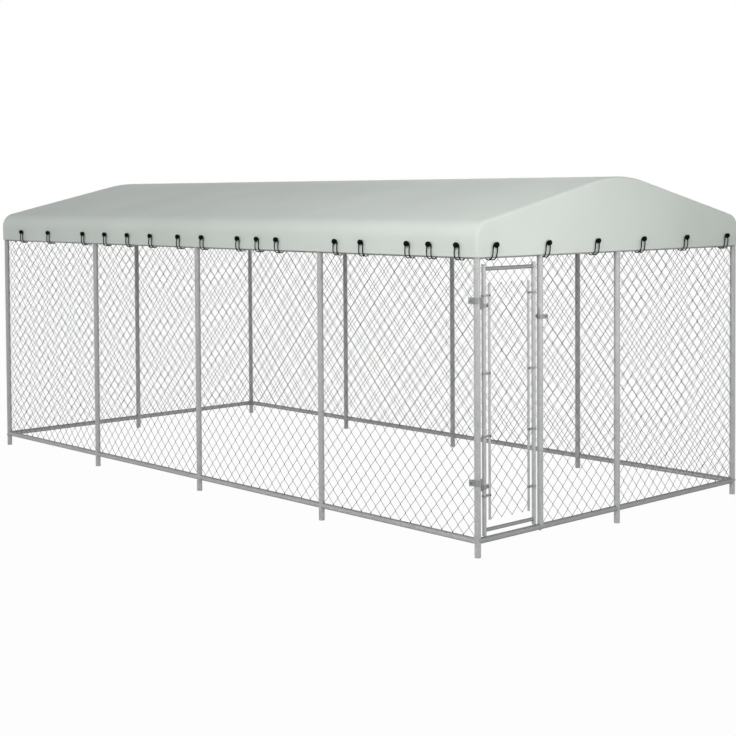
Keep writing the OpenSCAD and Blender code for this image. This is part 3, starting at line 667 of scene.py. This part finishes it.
bmesh.ops.recalc_face_normals(bm, faces=bm.faces[:])
peak_face = max(bm.faces, key=lambda f: f.calc_center_median().z)
if peak_face.normal.z < 0:
    bmesh.ops.reverse_faces(bm, faces=bm.faces[:])
map_cloth(bm)
crisp_rim(bm)
canopy_area = sum(f.calc_area() for f in bm.faces)
mesh = bpy.data.meshes.new("canopy")
bm.to_mesh(mesh)
bm.free()
canopy = put_on(mesh, "canopy", "run_frame", canopy_cloth,
                ["canopy_roof", "canopy_front_gable", "canopy_rear_gable"])
cloth_thickness = canopy.modifiers.new("cloth_thickness", "SOLIDIFY")
cloth_thickness.thickness = CLOTH_T
cloth_thickness.offset = -1
print("canopy cloth", round(canopy_area, 2), "square metres")

# %% [markdown]
# ## The hem
# The lower edge of the cloth is turned in and sewn, so the hem is a band on the inside: only its stitches
# show from outside, and the band itself from within the run. Seen from above it is a rounded rectangle. It
# is pulled up by the width of the hem, set just inside the cloth and hung by the same rule, so that it
# follows every tug.

# %% Hem band
HEM_H = 0.030
HEM_T = 0.0012
bm = bmesh.new()
bmesh.ops.create_grid(bm, x_segments=1, y_segments=1, size=1)
bmesh.ops.scale(bm, vec=(half_width - CLOTH_T, half_length - CLOTH_T, 1), verts=bm.verts[:])
bmesh.ops.translate(bm, vec=(0, 0, hem_z), verts=bm.verts[:])
bmesh.ops.bevel(bm, geom=bm.verts[:], offset=FOLD, offset_type="OFFSET", segments=8, profile=0.5,
                affect="VERTICES", material=-1)
bmesh.ops.delete(bm, geom=bm.faces[:], context="FACES_ONLY")
cut_grid(bm, X, -half_width, half_width, RUN_STEP)
cut_grid(bm, Y, -half_length, half_length, RUN_STEP)
made = bmesh.ops.extrude_edge_only(bm, edges=bm.edges[:])["geom"]
bmesh.ops.translate(bm, vec=(0, 0, HEM_H), verts=[v for v in made if isinstance(v, bmesh.types.BMVert)])
for vertex in bm.verts:
    vertex.co = hang(vertex.co)
bmesh.ops.recalc_face_normals(bm, faces=bm.faces[:])
outward = max(bm.faces, key=lambda f: f.calc_center_median().x)
if outward.normal.x < 0:
    bmesh.ops.reverse_faces(bm, faces=bm.faces[:])
map_cloth(bm)
crisp_rim(bm)
mesh = bpy.data.meshes.new("canopy_hem")
bm.to_mesh(mesh)
bm.free()
hem = put_on(mesh, "canopy_hem", "run_frame", hem_cloth, [])
hem_thickness = hem.modifiers.new("hem_thickness", "SOLIDIFY")
hem_thickness.thickness = HEM_T
hem_thickness.offset = -1

# %% [markdown]
# ## Bungees
# A ball bungee is one loop of elastic with both ends fixed in a ball. It goes in through the eyelet, down
# inside the skirt, under the top rail, up outside and over the neck of the ball. That path is drawn once
# beside the rail, measured outwards, along and up from the rail's axis, and repeated at each eyelet. The
# ball is turned like a drawer knob: a short neck, a round head and a shallow dimple.

# %% Path of one loop
CORD_D = 0.0075
HALF_LOOP = 0.020
ball_up = eyelet_z - rail_z
cloth_out = half_width + rail_x
strand = cloth_out + 0.0010 + CORD_D / 2
head_out = cloth_out + 0.0155
half_path = [
    (head_out - 0.004, 0.0040, ball_up),
    (cloth_out - 0.008, 0.0042, ball_up),
    (0.004, 0.0080, ball_up - 0.003),
    (-0.017, 0.0140, ball_up - 0.018),
    (-0.0250, HALF_LOOP, ball_up - 0.045),
    (-0.0250, HALF_LOOP, 0.004),
    (-0.0205, HALF_LOOP, -0.0155),
    (-0.0060, HALF_LOOP, -0.0255),
    (0.0100, HALF_LOOP, -0.0285),
    (0.0260, HALF_LOOP, -0.0235),
    (strand + 0.001, HALF_LOOP, -0.008),
    (strand + 0.004, HALF_LOOP, 0.014),
    (strand + 0.0025, HALF_LOOP, ball_up - 0.026),
    (strand + 0.0005, 0.0175, ball_up - 0.007),
    (strand, 0.0100, ball_up + 0.0075),
]
loop_path = half_path + [(strand, 0.0, ball_up + 0.0118)]
loop_path += [(out, -side, up) for out, side, up in reversed(half_path)]
loop_length = sum((Vector(a) - Vector(b)).length for a, b in zip(loop_path, loop_path[1:]))
print("elastic in one loop", round(loop_length, 3), "m")

# %% Profile of one ball
BALL_WIDE = 0.0222
BALL_TALL = 0.0190
DOME = 0.0132
BACK = 0.0080
NECK = 0.0085


def turned_profile():
    """Radius and distance out from the rail, from the front pole to the neck's end."""
    profile = [(0.0, head_out + 0.92 * DOME), (0.0045, head_out + 0.97 * DOME)]
    for turn in range(24, 156, 12):
        depth = DOME if turn < 90 else BACK
        profile.append((BALL_WIDE * sin(radians(turn)), head_out + depth * cos(radians(turn))))
    behind = head_out - 0.98 * BACK
    return profile + [(NECK, behind), (NECK, cloth_out + 0.0004), (0.0, cloth_out + 0.0004)]


def add_ball(bm, place):
    """Spins one ball on an axis out from the wall, then flattens it a little."""
    already = set(bm.verts)
    dots = [bm.verts.new((out, radius, 0)) for radius, out in turned_profile()]
    lines = [bm.edges.new(pair) for pair in zip(dots, dots[1:])]
    bmesh.ops.spin(bm, geom=dots + lines, cent=(0, 0, 0), axis=(1, 0, 0), angle=2 * pi, steps=20,
                   use_merge=True)
    fresh = [v for v in bm.verts if v not in already]
    bmesh.ops.scale(bm, vec=(1, 1, BALL_TALL / BALL_WIDE), verts=fresh)
    bmesh.ops.translate(bm, vec=(0, 0, ball_up), verts=fresh)
    bmesh.ops.transform(bm, matrix=place, verts=fresh)


print("ball", 2 * BALL_WIDE, "m wide,", 2 * BALL_TALL, "m tall,", DOME + BACK, "m deep")

# %% [markdown]
# On the long sides the loops hang straight. On the gables they are pulled a little aside, so there each one
# is sheared along the wall, with its ball staying at the eyelet.

# %% Tie the canopy down
GABLE_LEAN = 0.18


def outward_from(x, y, along, out, lean=0.0):
    """Places a bungee: its own axes are out from the wall, along it, and up."""
    columns = Matrix((out, along, (0, 0, 1))).transposed().to_4x4()
    tilt = Matrix.Identity(4)
    tilt[Y][Z] = lean
    tilt[Y][3] = -lean * ball_up
    return Matrix.Translation((x, y, rail_z)) @ columns @ tilt


def tie_down(wall, places):
    paths = [[place @ Vector(p) for p in loop_path] for place in places]
    mesh = swept_mesh("elastic_" + wall, paths, CORD_D, kind="BEZIER", detail=2)
    put_on(mesh, "elastic_" + wall, "run_frame", elastic_braid, ["bungee_cords_" + wall])
    bm = bmesh.new()
    for place in places:
        add_ball(bm, place)
    bmesh.ops.remove_doubles(bm, verts=bm.verts[:], dist=1e-5)
    bmesh.ops.recalc_face_normals(bm, faces=bm.faces[:])
    mesh = bpy.data.meshes.new("balls_" + wall)
    bm.to_mesh(mesh)
    bm.free()
    put_on(mesh, "balls_" + wall, "run_frame", black_plastic, ["bungee_balls_" + wall])


tie_down("left", [outward_from(rail_x, y, (0, 1, 0), (-1, 0, 0)) for y in left_ties])
tie_down("right", [outward_from(-rail_x, y, (0, 1, 0), (1, 0, 0)) for y in right_ties])
front_places = [outward_from(x, -CORNER_POST_Y, (1, 0, 0), (0, -1, 0), GABLE_LEAN) for x in gable_ties]
rear_places = [outward_from(x, CORNER_POST_Y, (1, 0, 0), (0, 1, 0), GABLE_LEAN) for x in gable_ties]
tie_down("gables", front_places + rear_places)

# %% [markdown]
# ## Floor, light and world
# The run stands on a plain white studio floor. The floor and the sky are white to the camera and to shiny
# metal. To all other light the floor is matt grey, and a trace of that grey stays in view, so the floor is
# not quite a blank. Most of the light is a sky that is brighter at the horizon than overhead, which keeps
# the roof darker than the skirts, and brighter beyond the run than in front of it. One soft lamp off the
# near corner and a small one before the door gable make the light fall off along the run and across the
# gable, and a third one behind keeps the far side from going dull.

# %% Floor
FLOOR_HALF = 60
FLOOR_GLOW = 0.975
bm = bmesh.new()
bmesh.ops.create_grid(bm, x_segments=1, y_segments=1, size=FLOOR_HALF)
mesh = bpy.data.meshes.new("floor")
bm.to_mesh(mesh)
bm.free()
floor = bpy.data.objects.new("floor", mesh)
bpy.context.scene.collection.objects.link(floor)
floor_paint, tree, shader = new_finish("floor_paint", roughness=0.9, colour=(0.35, 0.35, 0.35))
shader.inputs["Specular IOR Level"].default_value = 0.0
seen = add_node(tree, "LightPath")
glow = add_node(tree, "Emission", {"Color": (1, 1, 1, 1), "Strength": 1.0})
either = add_node(tree, "Math", operation="MAXIMUM")
tree.links.new(seen.outputs["Is Camera Ray"], either.inputs[0])
tree.links.new(seen.outputs["Is Glossy Ray"], either.inputs[1])
share = add_node(tree, "Math", {1: FLOOR_GLOW}, operation="MULTIPLY")
tree.links.new(either.outputs["Value"], share.inputs[0])
blend = add_node(tree, "MixShader")
tree.links.new(share.outputs["Value"], blend.inputs["Fac"])
tree.links.new(shader.outputs["BSDF"], blend.inputs[1])
tree.links.new(glow.outputs["Emission"], blend.inputs[2])
tree.links.new(blend.outputs["Shader"], tree.nodes["Material Output"].inputs["Surface"])
mesh.materials.append(floor_paint)
print("floor", floor.name)

# %% What sees the plain white
world = bpy.data.worlds.new("studio")
bpy.context.scene.world = world
world.use_nodes = True
tree = world.node_tree
tree.nodes.clear()
seen = add_node(tree, "LightPath")
either = add_node(tree, "Math", operation="MAXIMUM")
tree.links.new(seen.outputs["Is Camera Ray"], either.inputs[0])
tree.links.new(seen.outputs["Is Glossy Ray"], either.inputs[1])
any_of = add_node(tree, "Math", operation="MAXIMUM")
tree.links.new(either.outputs["Value"], any_of.inputs[0])
tree.links.new(seen.outputs["Is Transmission Ray"], any_of.inputs[1])
print("white to camera, glossy and transmission rays")

# %% Light of the sky
HORIZON = 2.93
SIDED = 0.376
BRIGHT_SIDE = (0.365, 0.931, 0.0)
heading = add_node(tree, "TexCoord")
axes = add_node(tree, "SeparateXYZ")
tree.links.new(heading.outputs["Generated"], axes.inputs["Vector"])
low_sky = add_node(tree, "Math", {1: 2.0}, operation="POWER")
tree.links.new(spread(tree, axes.outputs["Z"], 1.0, 0.0), low_sky.inputs[0])
towards = add_node(tree, "VectorMath", {1: BRIGHT_SIDE}, operation="DOT_PRODUCT")
tree.links.new(heading.outputs["Generated"], towards.inputs[0])
side = add_node(tree, "MapRange", {"From Min": -1.0, "To Min": 1 - SIDED, "To Max": 1 + SIDED})
tree.links.new(towards.outputs["Value"], side.inputs["Value"])
level = add_node(tree, "Math", operation="MULTIPLY")
tree.links.new(low_sky.outputs["Value"], level.inputs[0])
tree.links.new(side.outputs["Result"], level.inputs[1])
strength = add_node(tree, "Math", {1: HORIZON}, operation="MULTIPLY")
tree.links.new(level.outputs["Value"], strength.inputs[0])
print("sky", HORIZON, "at the horizon, dark overhead")

# %% World
fill = add_node(tree, "Background")
tree.links.new(two_tone(tree, axes.outputs["Z"], (1.0, 1.0, 1.0), (0.94, 0.98, 1.06)), fill.inputs["Color"])
tree.links.new(strength.outputs["Value"], fill.inputs["Strength"])
white = add_node(tree, "Background", {"Color": (1, 1, 1, 1), "Strength": 1.0})
blend = add_node(tree, "MixShader")
tree.links.new(any_of.outputs["Value"], blend.inputs["Fac"])
tree.links.new(fill.outputs["Background"], blend.inputs[1])
tree.links.new(white.outputs["Background"], blend.inputs[2])
out = add_node(tree, "OutputWorld")
tree.links.new(blend.outputs["Shader"], out.inputs["Surface"])
print("world", world.name)

# %% Lamps
NEAR_AIM = (-0.6, -1.0, 1.4)


def soft_lamp(name, place, target, watts, size):
    light = bpy.data.lights.new(name, "AREA")
    light.energy = watts
    light.size = size
    stand = bpy.data.objects.new(name, light)
    bpy.context.scene.collection.objects.link(stand)
    stand.location = place
    stand.rotation_euler = (Vector(target) - Vector(place)).to_track_quat("-Z", "Y").to_euler()
    stand.visible_camera = False
    print(name, watts, "W at", place)


soft_lamp("side_lamp", (-5.15, -4.94, 4.87), NEAR_AIM, watts=168, size=2.0)
soft_lamp("corner_lamp", (-0.78, -4.8, 1.83), NEAR_AIM, watts=15.5, size=1.6)
soft_lamp("back_lamp", (5.6, 3.6, 4.2), (0.6, 1.0, 1.6), watts=110, size=3.0)
bpy.context.scene.view_settings.view_transform = "Standard"
